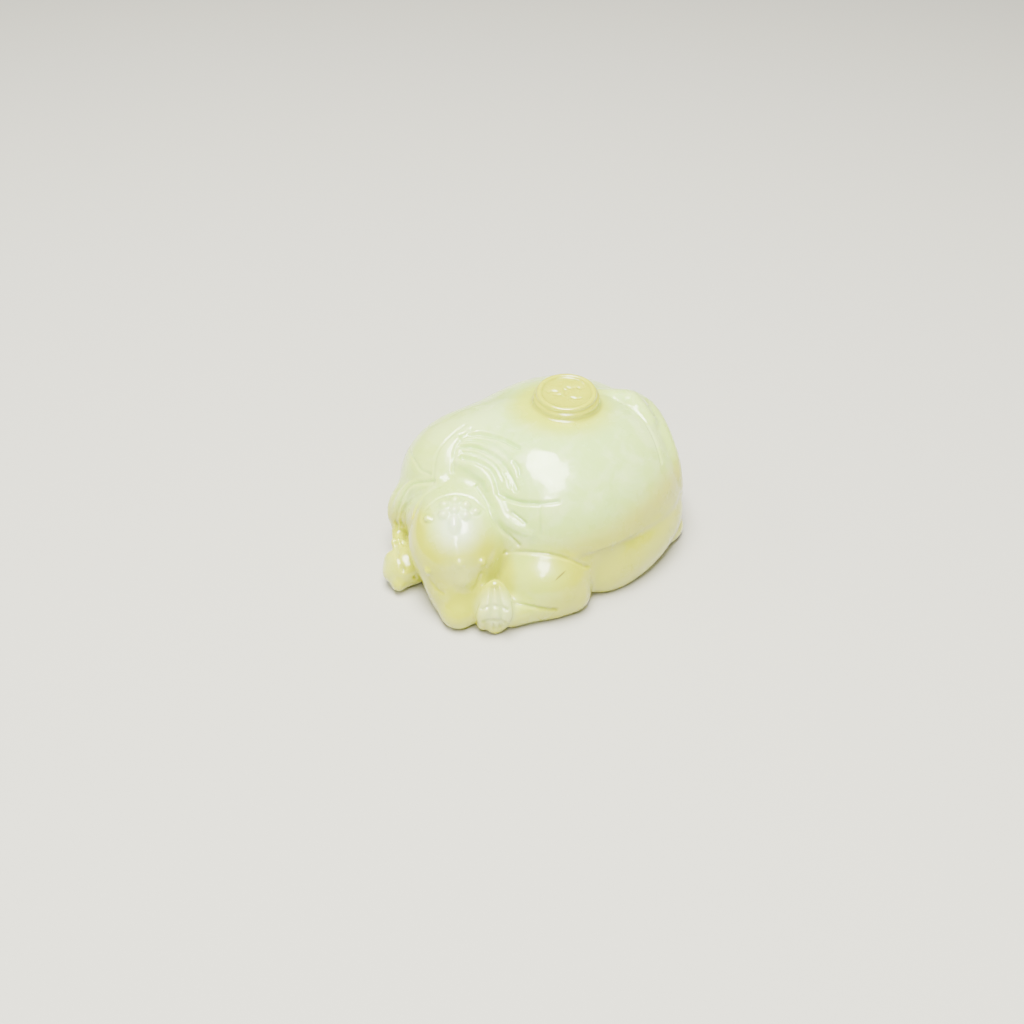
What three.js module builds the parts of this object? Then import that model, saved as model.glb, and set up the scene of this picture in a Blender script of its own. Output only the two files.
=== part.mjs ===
// Jade turtle figurine: one polished stone, carved as a crouching turtle that turns its head to
// its left, with a coin lying on its back, hair swept back from the head and a curled tail.
// Millimetres, +Z up, the turtle looks along -Y, the middle of its base is the origin.
import { BufferGeometry, Float32BufferAttribute, Group, Mesh, MeshStandardMaterial } from 'three';

// The shell
const shellLength = 43.4;
const shellWidth = 41.2;
const shellHeight = 25.3;
const shellSpring = 8;          // height of the widest line of the dome
const shellSquareness = 2.35;   // 2 is a plain oval
const rimHeight = 10.2;         // underside of the shell above the ground
const rimRounding = 0.9;
const shellSetBack = 6.2;       // the middle of the shell lies behind the middle of the base
const bellyInset = 0.5;         // the belly stands this far inside the rim

// The coin on the back
const coinDiameter = 10.6;
const coinRise = 2.2;           // its face above the dome
const coinRimWidth = 1.3;
const coinDishDepth = 0.4;
const coinFoot = 0.55;          // the step round its foot stands out this far
const coinFootDrop = 1;         // and lies this far below its face
const coinLean = 0.3;           // how far it lies to the turtle's left of the middle
const coinSetBack = 1.5;        // and behind the middle of the shell
const coinTilt = 5;             // degrees, towards the side the head is turned to
const coinEdgeRounding = 0.5;
const coinFillet = 1.2;         // how softly it rises from the shell

// The head
const headTurn = 45;            // degrees to the turtle's left
const headDip = 29.5;           // degrees below the level
const headWidth = 16.4;
const headLength = 18.4;
const headDepth = 14.8;
const headHeight = 10.3;        // middle of the skull above the ground
const headReach = 17.7;         // middle of the skull in front of the origin
const headShift = 0.4;
const muzzleWidth = 11.2;
const muzzleReach = 6;          // middle of the muzzle in front of the middle of the skull
const muzzleDrop = 1.7;
const chinWidth = 5.8;
const nostrilSize = 0.7;
const noseSize = 0.9;
const crownBossWidth = 4.6;     // the low knot of hair on the crown

// Legs, paws and tail
const armLength = 16;
const armWidth = 14;
const armDepth = 13.2;
const farArmWidth = 9.6;
const forearmThickness = 5.2;
const pawWidth = 5.8;
const pawLength = 9.4;
const pawThickness = 3.8;
const pawTilt = 20;             // degrees that the near paw leans back
const toeThickness = 2.3;
const farToeThickness = 2.9;
const thighLength = 25;
const thighWidth = 10.4;
const thighHeight = 12;
const rearFootLength = 10;
const tailThickness = 5.2;

// The carving
const viewRise = 38;            // the carving is laid out as seen from this many degrees above
const lockThickness = 4.4;      // the pointed lock behind the head, at its base
const collarThickness = 2.8;
const strandWidth = 1.1;
const mouthWidth = 0.9;
const crease = 0.8;             // how softly one form meets the next

// The surface
const cell = 0.46;              // spacing of the grid the stone is sampled on
const triangleCount = 9900;

const radians = (degrees) => degrees * Math.PI / 180;
const add = (a, b) => [a[0] + b[0], a[1] + b[1], a[2] + b[2]];
const times = (a, k) => [a[0] * k, a[1] * k, a[2] * k];
const dot = (a, b) => a[0] * b[0] + a[1] * b[1] + a[2] * b[2];
const cross = (a, b) => [a[1] * b[2] - a[2] * b[1], a[2] * b[0] - a[0] * b[2],
  a[0] * b[1] - a[1] * b[0]];
const unit = (a) => times(a, 1 / Math.hypot(...a));

// side, forward and up of something that faces along `forward`
function facing(forward) {
  const ahead = unit(forward);
  const side = unit(cross(ahead, [0, 0, 1]));
  return [side, ahead, cross(side, ahead)];
}
const upright = [[1, 0, 0], [0, 1, 0], [0, 0, 1]];

// Forms: each is a function of x, y, z that is negative inside the stone.
function egg(centre, radii, frame = upright, power = 2) {
  const [s, f, u] = frame;
  const share = (value, radius) => (Math.abs(value) / radius) ** power;
  const slope = (value, radius, size) => (Math.abs(value) / radius / size) ** (power - 1) / radius;
  return (x, y, z) => {
    const d = [x - centre[0], y - centre[1], z - centre[2]];
    const q = [dot(d, s), dot(d, f), dot(d, u)];
    const sum = share(q[0], radii[0]) + share(q[1], radii[1]) + share(q[2], radii[2]);
    const size = Math.max(sum ** (1 / power), 1e-6);
    const steep = Math.hypot(slope(q[0], radii[0], size), slope(q[1], radii[1], size),
      slope(q[2], radii[2], size));
    return (size - 1) / Math.max(steep, 1e-6);
  };
}

// a rounded bar along a path; the radii are spread evenly along it
function bar(path, radii) {
  const last = path.length - 1;
  const radiusAt = (i) => {
    const t = i / last * (radii.length - 1);
    const k = Math.min(Math.floor(t), radii.length - 2);
    return radii[k] + (radii[k + 1] - radii[k]) * (t - k);
  };
  const reach = Math.max(...radii) + 2;
  const low = [0, 1, 2].map((k) => Math.min(...path.map((p) => p[k])) - reach);
  const high = [0, 1, 2].map((k) => Math.max(...path.map((p) => p[k])) + reach);
  return (x, y, z) => {
    const p = [x, y, z];
    const off = Math.max(...p.map((value, k) => Math.max(low[k] - value, value - high[k])));
    if (off > 0) return 2 + off;
    let best = Infinity;
    for (let i = 0; i < last; i += 1) {
      const a = path[i];
      const along = [path[i + 1][0] - a[0], path[i + 1][1] - a[1], path[i + 1][2] - a[2]];
      const from = [x - a[0], y - a[1], z - a[2]];
      const t = Math.min(Math.max(dot(from, along) / Math.max(dot(along, along), 1e-9), 0), 1);
      const gap = Math.hypot(from[0] - along[0] * t, from[1] - along[1] * t,
        from[2] - along[2] * t);
      best = Math.min(best, gap - radiusAt(i) - (radiusAt(i + 1) - radiusAt(i)) * t);
    }
    return best;
  };
}

function blend(a, b, soft) {
  const h = Math.min(Math.max(0.5 + 0.5 * (b - a) / soft, 0), 1);
  return b + (a - b) * h - soft * h * (1 - h);
}
const join = (a, b, soft) => (x, y, z) => blend(a(x, y, z), b(x, y, z), soft);
const carve = (a, b, soft) => (x, y, z) => -blend(-a(x, y, z), b(x, y, z), soft);

// a smooth path through a few points
function sweep(points, steps = 6) {
  const first = add(times(points[0], 2), times(points[1], -1));
  const end = add(times(points.at(-1), 2), times(points.at(-2), -1));
  const all = [first, ...points, end];
  const path = [];
  for (let i = 1; i < all.length - 2; i += 1) {
    for (let j = 0; j < steps; j += 1) {
      const t = j / steps;
      path.push([0, 1, 2].map((k) => {
        const [a, b, c, d] = [all[i - 1][k], all[i][k], all[i + 1][k], all[i + 2][k]];
        return 0.5 * (2 * b + (c - a) * t + (2 * a - 5 * b + 4 * c - d) * t * t
          + (3 * b - 3 * c + d - a) * t * t * t);
      }));
    }
  }
  path.push(points.at(-1));
  return path;
}

// A place on the turtle as shares of half the shell's width, half its length and its height.
function place(across, along, up) {
  return [across * shellWidth / 2, shellSetBack + along * shellLength / 2, up * shellHeight];
}

// The big masses
const domeRadii = [shellWidth / 2, shellLength / 2, shellHeight - shellSpring];
const domeMiddle = [0, shellSetBack, shellSpring];
const dome = egg(domeMiddle, domeRadii, upright, shellSquareness);
const shoulder = egg(place(-0.46, -0.576, 0.456),
  [shellWidth * 0.274, shellLength * 0.276, shellHeight * 0.455]);
const aboveRim = (x, y, z) => rimHeight - z;
const shell = (x, y, z) => -blend(-join(dome, shoulder, 4)(x, y, z), -aboveRim(x, y, z),
  rimRounding);
const belly = egg(place(0, -0.03, 0.29),
  [shellWidth / 2 - bellyInset, shellLength / 2 - bellyInset, shellHeight * 0.455],
  upright, shellSquareness);

// A place under the dome: degrees round from the turtle's left, degrees up, and the depth.
function underDome(around, up, depth) {
  const level = Math.cos(radians(up));
  const way = [Math.cos(radians(around)) * level, Math.sin(radians(around)) * level,
    Math.sin(radians(up))];
  const shares = way.map((value, k) => (Math.abs(value) / domeRadii[k]) ** shellSquareness);
  const reach = (shares[0] + shares[1] + shares[2]) ** (-1 / shellSquareness);
  return add(domeMiddle, times(way, reach - depth));
}

const turn = radians(headTurn);
const dip = radians(headDip);
const outward = [Math.sin(turn), -Math.cos(turn), 0];
const headFrame = facing([outward[0], outward[1], -Math.tan(dip)]);
const skullMiddle = [headShift, -headReach, headHeight];
const neck = egg(place(-0.146, -0.862, 0.395),
  [headWidth * 0.64, headLength * 0.46, headDepth * 0.575], headFrame);

const leftArm = egg(place(0.6, -0.74, 0.186), [armLength / 2, armWidth / 2, armDepth / 2],
  facing(outward));
const rightArm = egg(place(-0.602, -0.894, 0.336),
  [farArmWidth / 2, armLength * 0.47, armDepth * 0.49], facing([-0.2, -1, 0]));
const leftForearm = bar([place(0.84, -0.66, 0.11), place(0.63, -1.12, 0.103)],
  [forearmThickness * 0.56, forearmThickness * 0.5]);
const rightForearm = bar([place(-0.66, -0.83, 0.144), place(-0.4, -1.26, 0.119)],
  [forearmThickness * 0.6, forearmThickness * 0.5]);
// the stone left standing under the head, between the paws
const throat = egg(place(0.02, -1.03, 0.134), [headWidth * 0.44, headLength * 0.42,
  shellHeight * 0.205], facing(outward));
const underChin = bar([place(0.42, -0.98, 0.11), place(0.45, -1.23, 0.115)],
  [headWidth * 0.195, headWidth * 0.175]);

// the near paw is a leaf of three toes: its wrist is up, its tips are on the ground
const wrist = place(0.6, -1.18, 0.31);
const tips = place(0.63, -1.27, 0.072);
const pawMiddle = times(add(wrist, tips), 0.5);
const pawFrame = facing(add([0, 0, Math.cos(radians(pawTilt))],
  times(outward, -Math.sin(radians(pawTilt)))));
const paw = egg(pawMiddle, [pawWidth / 2, pawLength / 2, pawThickness / 2], pawFrame, 1.75);
const toes = [-1, 0, 1].map((across) => {
  const side = times(pawFrame[0], across * toeThickness / 2);
  const bulge = add(pawMiddle, add(times(side, 1.5), times(outward, pawThickness * 0.3)));
  const end = add(tips, add(side, times(outward, pawThickness * (0.13 - 0.1 * Math.abs(across)))));
  return bar(sweep([add(wrist, times(side, 0.4)), bulge, end]),
    [0.6, 1, 1.05, 0.75].map((share) => share * toeThickness / 2));
});
// the far paw has four toes side by side under the cheek
const farPalm = egg(place(-0.3, -1.33, 0.124),
  [farArmWidth / 3, farArmWidth * 0.48, farArmWidth * 0.31], facing([-0.3, -1, 0]));
const farToes = [
  [-0.49, -1.315, 0.248],
  [-0.42, -1.425, 0.186],
  [-0.345, -1.5, 0.114],
  [-0.235, -1.49, 0.067],
].map((end, i) => bar([place(-0.32, -1.2, 0.165), place(...end)],
  [farToeThickness * 0.4, farToeThickness * (0.36 + 0.05 * i)]));

const thighs = [1, -1].map((side) => egg(place(side * 0.816, 0.074, 0.196),
  [thighWidth / 2, thighLength / 2, thighHeight / 2], facing([side * -0.06, 1, 0.18])));
const rearFeet = [1, -1].map((side) => egg(place(side * 0.77, 0.46, 0.087),
  [rearFootLength * 0.38, rearFootLength / 2, rearFootLength * 0.24]));

// the tail comes from under the shell behind the thigh and curls over the back to the coin
const tailOverShell = [
  [48, -6, 0.42],
  [38, 8, 0.4],
  [38, 20, 0.33],
  [46, 28, 0.29],
  [57, 33, 0.23],
  [66, 37, 0.17],
  [74, 42, 0.17],
  [79, 50, 0.21],
  [84, 58, 0.17],
].map(([around, up, sunk]) => underDome(around, up, sunk * tailThickness));
const tail = bar(sweep([place(-0.05, 0.72, 0.12), place(0.36, 0.84, 0.2), ...tailOverShell]),
  [1, 1, 0.95, 0.86, 0.86, 0.86, 0.9, 0.95, 0.9, 0.7, 0.4].map((s) => s * tailThickness / 2));

let body = join(shell, belly, crease * 0.7);
body = join(body, neck, crease * 2);
body = join(body, leftArm, crease * 2.8);
body = join(body, rightArm, crease * 1.4);
for (const form of [throat, underChin]) body = join(body, form, crease * 1.3);
body = join(body, leftForearm, crease * 1.7);
for (const form of [rightForearm, farPalm, paw]) body = join(body, form, crease);
for (const form of [...toes, ...farToes]) body = join(body, form, crease * 0.6);
for (const form of thighs) body = join(body, form, crease * 2.5);
for (const form of [...rearFeet, tail]) body = join(body, form, crease);

const skull = egg(skullMiddle, [headWidth / 2, headLength / 2, headDepth / 2], headFrame, 2.1);
const muzzleMiddle = add(add(skullMiddle, times(headFrame[1], muzzleReach)),
  times(headFrame[2], -muzzleDrop));
const muzzle = egg(muzzleMiddle, [muzzleWidth / 2, headLength * 0.34, headDepth * 0.32],
  headFrame);
const chin = egg(place(0.335, -1.405, 0.095), [chinWidth / 2, chinWidth * 0.46, chinWidth * 0.43]);
const head = join(join(skull, muzzle, crease * 2), chin, crease);

// The carving is laid out on a sheet seen from the front of the face: millimetres to the side of
// the middle of the face and millimetres up. Each point is then laid on the stone.
const rise = radians(viewRise);
const toViewer = add(times(outward, Math.cos(rise)), [0, 0, Math.sin(rise)]);
const sheetRight = [Math.cos(turn), Math.sin(turn), 0];
const sheetUp = cross(toViewer, sheetRight);
const faceMiddle = dot(skullMiddle, sheetRight) - 0.36;
const stretch = headWidth / 16.4;

function onStone(stone, sheet, side = 1, lift = 0) {
  return sheet.map(([across, up]) => {
    let point = add(add(times(sheetRight, faceMiddle + side * across * stretch),
      times(sheetUp, up * stretch)), times(toViewer, 45));
    // a point that misses the stone stays where it passes nearest
    let nearest = point;
    let least = Infinity;
    for (let step = 0; step < 90 && least > 0.01; step += 1) {
      const gap = stone(...point);
      if (gap < least) [least, nearest] = [gap, point];
      point = add(point, times(toViewer, -0.85 * gap));
    }
    return add(nearest, times(toViewer, lift));
  });
}

// forms that stand up from the body, and lines cut into it
const collar = bar(sweep(onStone(body, [[0.4, 12.9], [3.2, 11.8], [5.6, 9.8], [6.9, 6.6],
  [8.6, 3.4], [12.3, 1.2]], 1, -0.28 * collarThickness)),
  [0.64, 0.93, 1, 0.93, 0.93, 0.57].map((share) => share * collarThickness / 2));
const farCollar = bar(sweep(onStone(body, [[3, 9.6], [7.4, 8.9], [9.5, 6], [10.3, 1.5],
  [10, -2.5]], -1, -0.25 * collarThickness)),
  [0.64, 0.86, 0.93, 0.86, 0.64].map((share) => share * collarThickness / 2));
const lock = bar(sweep(onStone(body, [[-2.3, 9.8], [-1.6, 14], [0, 17], [2.2, 20]], 1,
  -0.3 * lockThickness)),
  [1, 0.82, 0.55, 0.18].map((share) => share * lockThickness / 2));
const strands = [
  [[0.6, 17.3], [3.9, 17.6], [7.2, 16.8], [10.2, 15.2]],
  [[0.4, 15.5], [3.6, 15.2], [6.8, 13.4], [8.9, 10.6], [9.9, 8.2]],
  [[0.6, 13.6], [3.6, 12.8], [5.9, 11.2], [7, 7.6]],
].map((line) => bar(sweep(onStone(body, line)), [0.7, 1, 0.6].map((s) => s * strandWidth / 2)));
const shellGroove = bar(sweep(onStone(body, [[6.9, 7.8], [10.4, 6.2], [15, 6], [19.3, 6.9]])),
  [1.1, 1.1, 0.5].map((share) => share * strandWidth / 2));
const mouth = [1, -1].map((side) => bar(sweep(onStone(head, [[0, -9.8], [2.2, -8.5], [3.6, -7.1],
  [4.6, -5.5], [6, -3.8]], side)), [1, 1, 0.5].map((share) => share * mouthWidth / 2)));

// a rounded bump on the head at one point of the sheet
function bump(across, up, radius, sink) {
  const centre = onStone(head, [[across, up]], 1, -sink)[0];
  return egg(centre, [radius, radius, radius]);
}
const bumps = [bump(0, -3.5, noseSize, 0.2), bump(4.4, -4.2, nostrilSize, 0.2),
  bump(-4.4, -4.2, nostrilSize, 0.2), bump(0, 2.3, noseSize, 0.3)];
const crownBoss = egg(onStone(head, [[0, 4.9]], 1, -0.4)[0],
  [crownBossWidth / 2, crownBossWidth * 0.25, crownBossWidth * 0.4], facing(toViewer));

// The coin: a round tablet on a wider foot, with a raised border round its dished face
const coinTop = shellHeight + coinRise;
const coinMiddle = [coinLean, shellSetBack + coinSetBack, coinTop];
const coinUp = add(times(outward, Math.sin(radians(coinTilt))),
  [0, 0, Math.cos(radians(coinTilt))]);
function tablet(out, depth, radius, drop) {
  return Math.hypot(Math.max(out - radius + coinEdgeRounding, 0),
    Math.max(coinEdgeRounding + drop - depth, 0)) - coinEdgeRounding;
}

let carving = join(body, head, crease * 2);
for (const form of [collar, farCollar, lock, crownBoss, ...bumps]) {
  carving = join(carving, form, crease);
}
for (const line of [...strands, shellGroove, ...mouth]) carving = carve(carving, line, crease);
const stone = (x, y, z) => {
  const bare = carving(x, y, z);
  const from = add([x, y, z], times(coinMiddle, -1));
  const depth = -dot(from, coinUp);
  const out = Math.hypot(...add(from, times(coinUp, depth)));
  if (out > coinDiameter || depth > shellHeight / 2) return bare;
  const radius = coinDiameter / 2;
  const coin = blend(tablet(out, depth, radius, 0),
    tablet(out, depth, radius + coinFoot, coinFootDrop), 0.4);
  const dish = Math.max(out - radius + coinRimWidth, depth - coinDishDepth);
  return -blend(-blend(bare, coin, coinFillet), dish, 0.4);
};
const standing = (x, y, z) => Math.max(stone(x, y, z), -z);

// The surface of a form, in triangles: every cube of the grid is split into six tetrahedra.
function surfaceOf(form, low, high, size) {
  const count = low.map((value, k) => Math.ceil((high[k] - value) / size) + 1);
  const at = (i, j, k) => (k * count[1] + j) * count[0] + i;
  const values = new Float64Array(count[0] * count[1] * count[2]);
  const sample = (i, j, k) => form(low[0] + i * size, low[1] + j * size, low[2] + k * size);
  // blocks that lie well inside or outside the stone take the value at their middle
  const block = 4;
  const least = 0.12 * size;
  const blocks = count.map((n) => Math.ceil(n / block));
  for (let n = 0; n < blocks[0] * blocks[1] * blocks[2]; n += 1) {
    const corner = [n % blocks[0], Math.floor(n / blocks[0]) % blocks[1],
      Math.floor(n / blocks[0] / blocks[1])].map((value) => value * block);
    const overall = sample(...corner.map((value) => value + block / 2));
    const mixed = Math.abs(overall) < 2 * block * size;
    const end = corner.map((value, axis) => Math.min(value + block, count[axis]));
    for (let k = corner[2]; k < end[2]; k += 1) {
      for (let j = corner[1]; j < end[1]; j += 1) {
        for (let i = corner[0]; i < end[0]; i += 1) {
          const value = mixed ? sample(i, j, k) : overall;
          // the surface is kept a little away from the grid points
          values[at(i, j, k)] = Math.abs(value) < least ? (value < 0 ? -least : least) : value;
        }
      }
    }
  }
  const points = [];
  const faces = [];
  const known = new Map();
  const crossing = (a, b) => {
    const key = a < b ? a * values.length + b : b * values.length + a;
    if (known.has(key)) return known.get(key);
    const t = values[a] / (values[a] - values[b]);
    const where = [a, b].map((n) => [n % count[0], Math.floor(n / count[0]) % count[1],
      Math.floor(n / count[0] / count[1])]);
    points.push([0, 1, 2].map((m) => low[m] + size * (where[0][m] * (1 - t) + where[1][m] * t)));
    known.set(key, points.length - 1);
    return points.length - 1;
  };
  const push = (a, b, c, inside) => {
    const [p, q, r] = [points[a], points[b], points[c]];
    const normal = cross(add(q, times(p, -1)), add(r, times(p, -1)));
    const middle = times(add(add(p, q), r), 1 / 3);
    const away = add(middle, times(inside, -1));
    faces.push(dot(normal, away) > 0 ? [a, b, c] : [a, c, b]);
  };
  const routes = [[0, 1, 2], [0, 2, 1], [1, 0, 2], [1, 2, 0], [2, 0, 1], [2, 1, 0]];
  const step = [1, count[0], count[0] * count[1]];
  const corners = [0, 1, 2, 3, 4, 5, 6, 7].map((n) => (n & 1) * step[0] + (n >> 1 & 1) * step[1]
    + (n >> 2) * step[2]);
  const spot = (n) => [low[0] + size * (n % count[0]),
    low[1] + size * (Math.floor(n / count[0]) % count[1]),
    low[2] + size * Math.floor(n / count[0] / count[1])];
  for (let k = 0; k < count[2] - 1; k += 1) {
    for (let j = 0; j < count[1] - 1; j += 1) {
      for (let i = 0; i < count[0] - 1; i += 1) {
        const first = at(i, j, k);
        const negative = corners.filter((n) => values[first + n] < 0).length;
        if (negative === 0 || negative === corners.length) continue;
        for (const route of routes) {
          const tet = [first];
          for (const axis of route) tet.push(tet.at(-1) + step[axis]);
          const inner = tet.filter((n) => values[n] < 0);
          const outer = tet.filter((n) => values[n] >= 0);
          if (inner.length === 0 || outer.length === 0) continue;
          const inside = times(inner.map(spot).reduce(add), 1 / inner.length);
          if (inner.length === 2) {
            const [a, b, c, d] = [crossing(inner[0], outer[0]), crossing(inner[0], outer[1]),
              crossing(inner[1], outer[1]), crossing(inner[1], outer[0])];
            push(a, b, c, inside);
            push(a, c, d, inside);
          } else {
            const lone = inner.length === 1 ? inner[0] : outer[0];
            const rest = inner.length === 1 ? outer : inner;
            const [a, b, c] = rest.map((n) => crossing(lone, n));
            push(a, b, c, inside);
          }
        }
      }
    }
  }
  return { points, faces };
}

// Collapses the edges that matter least until `target` faces are left.
function simplify({ points, faces }, target) {
  const alive = faces.map(() => true);
  const around = points.map(() => new Set());
  faces.forEach((face, n) => face.forEach((v) => around[v].add(n)));
  const plane = (face) => {
    const [p, q, r] = face.map((v) => points[v]);
    const raw = cross(add(q, times(p, -1)), add(r, times(p, -1)));
    const area = Math.hypot(...raw);
    const normal = times(raw, 1 / Math.max(area, 1e-12));
    return { normal, area, offset: -dot(normal, p) };
  };
  const errors = points.map(() => new Float64Array(10));
  for (const face of faces) {
    const { normal: [a, b, c], area, offset: d } = plane(face);
    const terms = [a * a, a * b, a * c, a * d, b * b, b * c, b * d, c * c, c * d, d * d];
    for (const v of face) terms.forEach((term, n) => { errors[v][n] += term * area; });
  }
  const errorAt = (q, [x, y, z]) => q[0] * x * x + 2 * q[1] * x * y + 2 * q[2] * x * z
    + 2 * q[3] * x + q[4] * y * y + 2 * q[5] * y * z + 2 * q[6] * y + q[7] * z * z
    + 2 * q[8] * z + q[9];
  const best = (a, b) => {
    const q = errors[a].map((value, n) => value + errors[b][n]);
    const middle = times(add(points[a], points[b]), 0.5);
    const span = Math.hypot(...add(points[a], times(points[b], -1)));
    const minor = [q[4] * q[7] - q[5] * q[5], q[2] * q[5] - q[1] * q[7],
      q[1] * q[5] - q[2] * q[4]];
    const determinant = q[0] * minor[0] + q[1] * minor[1] + q[2] * minor[2];
    const options = [middle, points[a], points[b]];
    if (Math.abs(determinant) > 1e-5) {
      const lower = [q[0] * q[7] - q[2] * q[2], q[1] * q[2] - q[0] * q[5],
        q[0] * q[4] - q[1] * q[1]];
      const rows = [[minor[0], minor[1], minor[2]], [minor[1], lower[0], lower[1]],
        [minor[2], lower[1], lower[2]]];
      const ideal = rows.map((row) => -dot(row, [q[3], q[6], q[8]]) / determinant);
      if (Math.hypot(...add(ideal, times(middle, -1))) < span) options.unshift(ideal);
    }
    let choice = options[0];
    let cost = errorAt(q, choice);
    for (const option of options.slice(1)) {
      const other = errorAt(q, option);
      if (other < cost - 1e-12) [choice, cost] = [option, other];
    }
    return { choice, cost: Math.max(cost, 0) + 1e-7 * span * span };
  };

  // a binary heap of edges, cheapest first
  const heap = [];
  const swap = (i, j) => { [heap[i], heap[j]] = [heap[j], heap[i]]; };
  const put = (entry) => {
    let n = heap.push(entry) - 1;
    while (n > 0 && heap[(n - 1) >> 1].cost > heap[n].cost) {
      swap(n, (n - 1) >> 1);
      n = (n - 1) >> 1;
    }
  };
  const take = () => {
    swap(0, heap.length - 1);
    const entry = heap.pop();
    for (let n = 0; ;) {
      let least = n;
      for (const child of [2 * n + 1, 2 * n + 2]) {
        if (child < heap.length && heap[child].cost < heap[least].cost) least = child;
      }
      if (least === n) return entry;
      swap(n, least);
      n = least;
    }
  };
  const age = new Int32Array(points.length);
  const offer = (a, b) => put({ a, b, ages: age[a] + age[b], ...best(a, b) });
  for (const [a, b, c] of faces) {
    for (const [p, q] of [[a, b], [b, c], [c, a]]) if (p < q) offer(p, q);
  }
  const neighbours = (v) => {
    const found = new Set();
    for (const n of around[v]) for (const w of faces[n]) if (w !== v) found.add(w);
    return found;
  };
  let left = faces.length;
  while (left > target && heap.length > 0) {
    const { a, b, ages, choice } = take();
    if (around[a].size === 0 || around[b].size === 0 || ages !== age[a] + age[b]) continue;
    const shared = [...around[a]].filter((n) => around[b].has(n));
    if (shared.length !== 2) continue;
    const besideB = neighbours(b);
    const common = [...neighbours(a)].filter((v) => besideB.has(v));
    if (common.length !== 2) continue;
    let sound = true;
    for (const n of [...around[a], ...around[b]]) {
      if (shared.includes(n)) continue;
      const before = plane(faces[n]);
      const moved = faces[n].map((v) => (v === a || v === b ? choice : points[v]));
      const [p, q, r] = moved;
      const raw = cross(add(q, times(p, -1)), add(r, times(p, -1)));
      const area = Math.hypot(...raw);
      const longest = Math.max(Math.hypot(...add(q, times(p, -1))),
        Math.hypot(...add(r, times(q, -1))), Math.hypot(...add(p, times(r, -1))));
      if (dot(raw, before.normal) < 0.35 * area || area < 0.04 * longest * longest) sound = false;
      if (!sound) break;
    }
    if (!sound) continue;
    points[a] = choice;
    errors[a] = errors[a].map((value, n) => value + errors[b][n]);
    for (const n of shared) {
      alive[n] = false;
      for (const v of faces[n]) around[v].delete(n);
    }
    for (const n of around[b]) {
      faces[n] = faces[n].map((v) => (v === b ? a : v));
      around[a].add(n);
    }
    around[b].clear();
    left -= shared.length;
    age[a] += age[b] + 1;
    for (const v of neighbours(a)) offer(a, v);
  }
  return { points, faces: faces.filter((face, n) => alive[n]) };
}

// Evens out the triangles where the stone is smooth, and brings every point back onto it.
function settle({ points, faces }, form, rounds) {
  const around = points.map(() => new Set());
  faces.forEach((face, n) => face.forEach((v) => around[v].add(n)));
  const slope = ([x, y, z]) => {
    const h = 0.05;
    return [form(x + h, y, z) - form(x - h, y, z), form(x, y + h, z) - form(x, y - h, z),
      form(x, y, z + h) - form(x, y, z - h)].map((d) => d / (2 * h));
  };
  const normalOf = (face) => {
    const [p, q, r] = face.map((v) => points[v]);
    return unit(cross(add(q, times(p, -1)), add(r, times(p, -1))));
  };
  for (let round = 0; round < rounds; round += 1) {
    const normals = faces.map(normalOf);
    const moved = points.map((point, v) => {
      const own = [...around[v]];
      if (own.length === 0 || Math.abs(point[2]) < 0.03) return point;
      const mean = unit(own.map((n) => normals[n]).reduce(add));
      const flattest = Math.min(...own.map((n) => dot(mean, normals[n])));
      let target = point;
      if (flattest > 0.93) {
        const near = [...new Set(own.flatMap((n) => faces[n]))].filter((w) => w !== v);
        const centre = times(near.map((w) => points[w]).reduce(add), 1 / near.length);
        const shift = times(add(centre, times(point, -1)), 0.5);
        target = add(point, add(shift, times(mean, -dot(mean, shift))));
      }
      const grade = slope(target);
      const steep = Math.max(dot(grade, grade), 0.2);
      const gap = form(...target);
      const back = Math.min(Math.max(-gap / steep, -0.15), 0.15);
      return add(target, times(grade, back));
    });
    moved.forEach((point, v) => { points[v] = point; });
  }
  return { points, faces };
}

// the grid is a box round the whole stone; half a cell of it lies under the ground
const front = Math.max(headReach + headLength * 0.75, -place(0, -1.7, 0)[1]);
const top = coinTop + coinDiameter / 2 * Math.sin(radians(coinTilt)) + 2 * cell;
const rough = surfaceOf(standing, [place(-1.1, 0, 0)[0], -front, -cell / 2],
  [place(1.25, 0, 0)[0], place(0, 1.25, 0)[1], top], cell);
const { points, faces } = settle(simplify(rough, triangleCount), standing, 10);
const used = [...new Set(faces.flat())];
const box = [0, 1].map((k) => {
  const values = used.map((v) => points[v][k]);
  return (Math.min(...values) + Math.max(...values)) / 2;
});
const numbering = new Map(used.map((v, n) => [v, n]));
const positions = used.flatMap((v) => {
  const [x, y, z] = points[v];
  return [x - box[0], y - box[1], z < 0.05 ? 0 : z];
});

const geometry = new BufferGeometry();
geometry.setAttribute('position', new Float32BufferAttribute(positions, 3));
geometry.setIndex(faces.flatMap((face) => face.map((v) => numbering.get(v))));
geometry.computeVertexNormals();
const jade = new MeshStandardMaterial({ color: 0xc9cfa8, roughness: 0.22, metalness: 0 });
const turtle = new Mesh(geometry, jade);
turtle.name = 'turtle';
const figurine = new Group();
figurine.name = 'figurine';
figurine.add(turtle);
export default figurine;
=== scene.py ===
import math

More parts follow.
